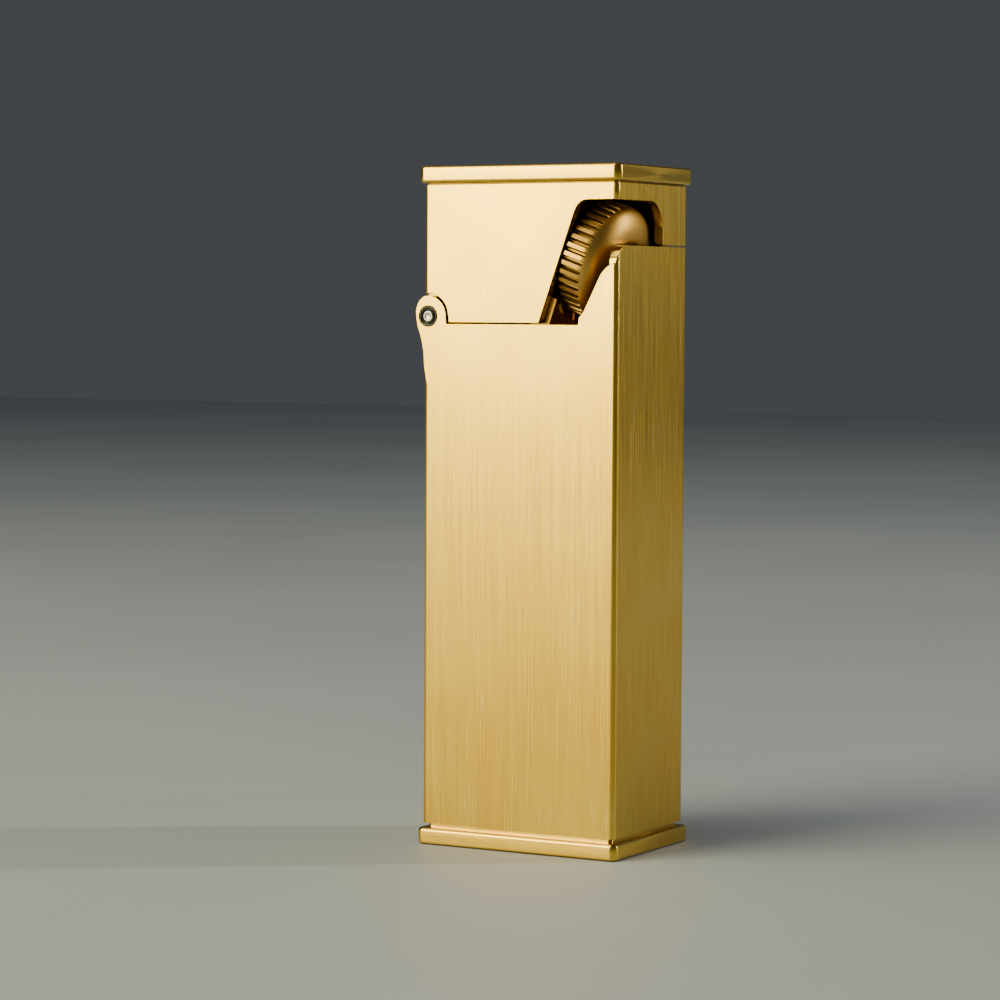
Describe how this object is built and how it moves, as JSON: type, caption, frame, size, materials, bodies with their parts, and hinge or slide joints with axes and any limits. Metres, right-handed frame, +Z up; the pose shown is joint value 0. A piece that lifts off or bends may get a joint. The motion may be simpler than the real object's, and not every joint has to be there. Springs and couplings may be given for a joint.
{
  "type": "pocket lighter",
  "caption": "Slim rectangular pocket gas lighter in brushed brass, with a hinged lid and a tilted ribbed roller that strikes the flint.",
  "frame": {"origin": "centre of the underside of the base plate, midway between the case's side faces", "axes": "+Z up along the case, +X towards the roller side, the wide front face looks along -Y"},
  "size_m": [0.0217, 0.0152, 0.064],
  "materials": {
    "gold_shell": "brushed along the length, clear lacquered",
    "inner_brass": "turned and bead blasted",
    "steel": "turned",
    "black_bush": "gloss black",
    "rubber": "matte",
    "flint": "matte",
    "felt": "matte"
  },
  "bodies": {
    "case": {"case_shell": "gold_shell", "base_plate": "gold_shell", "tank_shell": "inner_brass", "tank_bottom": "inner_brass", "filler_valve_body": "inner_brass", "filler_valve_spring": "steel", "gas_filter": "felt", "burner_valve_body": "inner_brass", "nozzle_spring": "steel", "flint_tube": "inner_brass", "flint_spring": "steel", "wheel_carrier": "inner_brass", "carrier_screw_1": "steel", "carrier_screw_2": "steel", "lever_pin": "steel", "lid_cam_spring": "steel", "hinge_pin": "steel", "hinge_bush_front": "black_bush", "hinge_bush_back": "black_bush", "axle_bush": "inner_brass"},
    "lid": {"lid_shell": "gold_shell", "lid_top_plate": "gold_shell", "snuffer_housing": "inner_brass", "snuffer_spring": "steel"},
    "snuffer": {"snuffer_cap": "inner_brass", "snuffer_seal": "rubber"},
    "roller": {"roller_wheel": "gold_shell", "spark_wheel": "steel", "roller_axle": "steel", "axle_screw": "steel"},
    "lever": {"valve_lever": "steel"},
    "nozzle": {"burner_nozzle": "inner_brass"},
    "flint": {"flint": "flint", "flint_pusher": "inner_brass"},
    "flint_screw": {"flint_screw": "inner_brass"},
    "flame_adjuster": {"flame_adjuster": "inner_brass"},
    "filler_stem": {"filler_valve_stem": "inner_brass"}
  },
  "joints": [
    {"name": "lid_hinge", "type": "hinge", "parent": "case", "child": "lid", "pos_m": [-0.00978, 0, 0.04994], "axis": [0, -1, 0], "range_deg": [0, 95]},
    {"name": "snuffer_press", "type": "slide", "parent": "lid", "child": "snuffer", "axis": [0, 0, 1], "range_m": [0, 0.0008], "stiffness_N_per_m": 300, "springref_m": -0.001, "deforming": ["snuffer_spring"]},
    {"name": "roller_spin", "type": "hinge", "parent": "case", "child": "roller", "pos_m": [0.00475, -0.0014, 0.0556], "axis": [0.9442, -0.0495, -0.3256], "continuous": true},
    {"name": "valve_lever_tip", "type": "hinge", "parent": "case", "child": "lever", "pos_m": [-0.0066, 0.0009, 0.0504], "axis": [0, -1, 0], "range_deg": [0, 8.1]},
    {"name": "nozzle_lift", "type": "slide", "parent": "case", "child": "nozzle", "axis": [0, 0, 1], "range_m": [0, 0.00046], "deforming": ["nozzle_spring"]},
    {"name": "flint_feed", "type": "slide", "parent": "case", "child": "flint", "axis": [0, 0, -1], "range_m": [0, 0.002], "stiffness_N_per_m": 150, "springref_m": -0.01, "deforming": ["flint_spring"]},
    {"name": "flint_screw_turn", "type": "hinge", "parent": "case", "child": "flint_screw", "pos_m": [0.001, -0.00135, 0.001], "axis": [0, 0, 1], "continuous": true},
    {"name": "flame_adjust", "type": "hinge", "parent": "case", "child": "flame_adjuster", "pos_m": [0.0058, 0, 0.001], "axis": [0, 0, 1], "range_deg": [-60, 60]},
    {"name": "filler_press", "type": "slide", "parent": "case", "child": "filler_stem", "axis": [0, 0, 1], "range_m": [0, 0.0008], "stiffness_N_per_m": 300, "springref_m": -0.001, "deforming": ["filler_valve_spring"]}
  ],
  "couplings": [
    {"joint": "valve_lever_tip", "follows": "lid_hinge", "ratio": 0.08421},
    {"joint": "nozzle_lift", "follows": "lid_hinge", "m_per_rad": 0.0002714}
  ]
}
